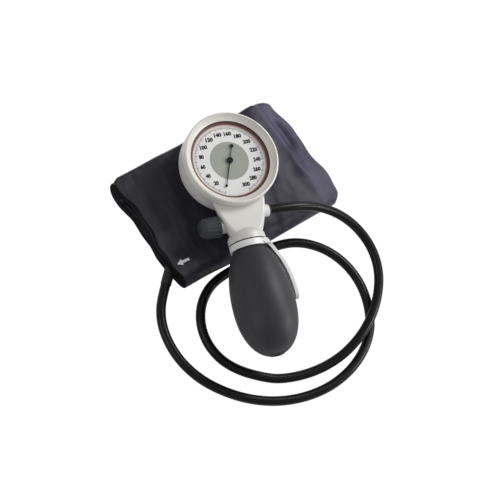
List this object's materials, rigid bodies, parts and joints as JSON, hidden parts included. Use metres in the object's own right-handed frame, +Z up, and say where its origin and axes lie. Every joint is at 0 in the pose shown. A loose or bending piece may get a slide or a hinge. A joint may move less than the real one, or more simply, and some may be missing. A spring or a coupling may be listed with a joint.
{
  "type": "palm-type aneroid sphygmomanometer",
  "caption": "Aneroid blood pressure gauge with hand bulb, release valve and finger spoon, joined by a rubber hose to its folded arm cuff.",
  "frame": {"origin": "on the table, on the underside of the folded cuff, under the centre of the dial", "axes": "+Z up along the pointer's axis, +Y to the top of the dial along the handle, +X to the right of the dial"},
  "size_m": [0.1878, 0.2292, 0.0608],
  "materials": {
    "cuff_fabric": "matte dark navy woven nylon",
    "bladder_rubber": "matte sheet rubber",
    "hose_rubber": "satin black rubber",
    "black_plastic": "satin black",
    "shell_plastic": "satin light grey",
    "bezel_plastic": "satin light grey, a little warm",
    "clear_plastic": "clear, polished",
    "ring_plastic": "reddish brown",
    "dial_enamel": "matte off-white enamel with printed scale",
    "brass": "satin",
    "spring_bronze": "satin rolled sheet",
    "steel": "bright",
    "pointer_paint": "matte black",
    "white_plastic": "satin white",
    "seal_rubber": "matte black",
    "knob_plastic": "satin dark grey",
    "valve_chrome": "plated",
    "cage_plastic": "moulded",
    "bulb_rubber": "matte dark grey moulded rubber"
  },
  "bodies": {
    "device": {"base_pillars": "brass", "base_plate": "brass", "base_screws": "steel", "bezel": "bezel_plastic", "bladder": "bladder_rubber", "bladder_spout": "bladder_rubber", "bulb": "bulb_rubber", "bulb_nipple": "valve_chrome", "capsule_inlet": "brass", "capsule_lower_diaphragm": "spring_bronze", "capsule_upper_diaphragm": "spring_bronze", "cuff_cloth": "cuff_fabric", "dial": "dial_enamel", "dial_feet": "brass", "dial_ring": "ring_plastic", "gauge_nipple": "brass", "gauge_tube": "brass", "hairspring": "spring_bronze", "hairspring_stud": "brass", "hose": "hose_rubber", "hose_connector": "black_plastic", "hose_joiner": "black_plastic", "housing": "shell_plastic", "intake_filter": "steel", "intake_valve_body": "valve_chrome", "lens": "clear_plastic", "lower_plate": "brass", "outlet_cage": "cage_plastic", "plate_pillars": "brass", "port_socket": "white_plastic", "spindle_seal": "seal_rubber", "upper_plate": "brass", "valve_bush": "brass"},
    "pointer_assembly": {"pointer": "pointer_paint", "pinion_arbor": "steel", "hairspring_collet": "brass"},
    "sector": {"sector_gear": "brass"},
    "rocker": {"rocker_shaft": "steel"},
    "stem": {"capsule_stem": "brass"},
    "valve_stem": {"valve_spindle": "steel"},
    "knob": {"release_knob": "knob_plastic"},
    "spoon": {"spoon_collar": "white_plastic"},
    "intake_valve_ball": {"intake_ball": "steel"},
    "outlet_valve_flap": {"outlet_flap": "seal_rubber"}
  },
  "joints": [
    {"name": "pointer_turn", "type": "hinge", "parent": "device", "child": "pointer_assembly", "pos_m": [0, 0, 0.047], "axis": [0, 0, -1], "range_deg": [0, 325]},
    {"name": "sector_turn", "type": "hinge", "parent": "device", "child": "sector", "pos_m": [0.015, 0, 0.0417], "axis": [0, 0, 1], "range_deg": [0, 36.2]},
    {"name": "rocker_turn", "type": "hinge", "parent": "device", "child": "rocker", "pos_m": [0.009, -0.00155, 0.0374], "axis": [-1, 0, 0], "range_deg": [0, 17.7]},
    {"name": "stem_lift", "type": "slide", "parent": "device", "child": "stem", "axis": [0, 0, 1], "range_m": [0, 0.0012]},
    {"name": "valve_stem_travel", "type": "slide", "parent": "device", "child": "valve_stem", "axis": [-1, 0, 0], "range_m": [0, 0.00105]},
    {"name": "knob_turn", "type": "hinge", "parent": "valve_stem", "child": "knob", "pos_m": [-0.02, -0.045, 0.0385], "axis": [-1, 0, 0], "range_deg": [0, 554]},
    {"name": "spoon_swivel", "type": "hinge", "parent": "device", "child": "spoon", "pos_m": [0, -0.0603, 0.0385], "axis": [0, -1, 0], "range_deg": [0, 180]},
    {"name": "intake_ball_lift", "type": "slide", "parent": "device", "child": "intake_valve_ball", "axis": [0, 1, 0], "range_m": [0, 0.0009]},
    {"name": "outlet_flap_lift", "type": "slide", "parent": "device", "child": "outlet_valve_flap", "axis": [0, 1, 0], "range_m": [0, 0.001]}
  ],
  "couplings": [
    {"joint": "pointer_turn", "follows": "stem_lift", "rad_per_m": 4610.6},
    {"joint": "sector_turn", "follows": "stem_lift", "rad_per_m": 512.29},
    {"joint": "rocker_turn", "follows": "stem_lift", "rad_per_m": 249.9},
    {"joint": "knob_turn", "follows": "valve_stem_travel", "rad_per_m": 8976}
  ]
}
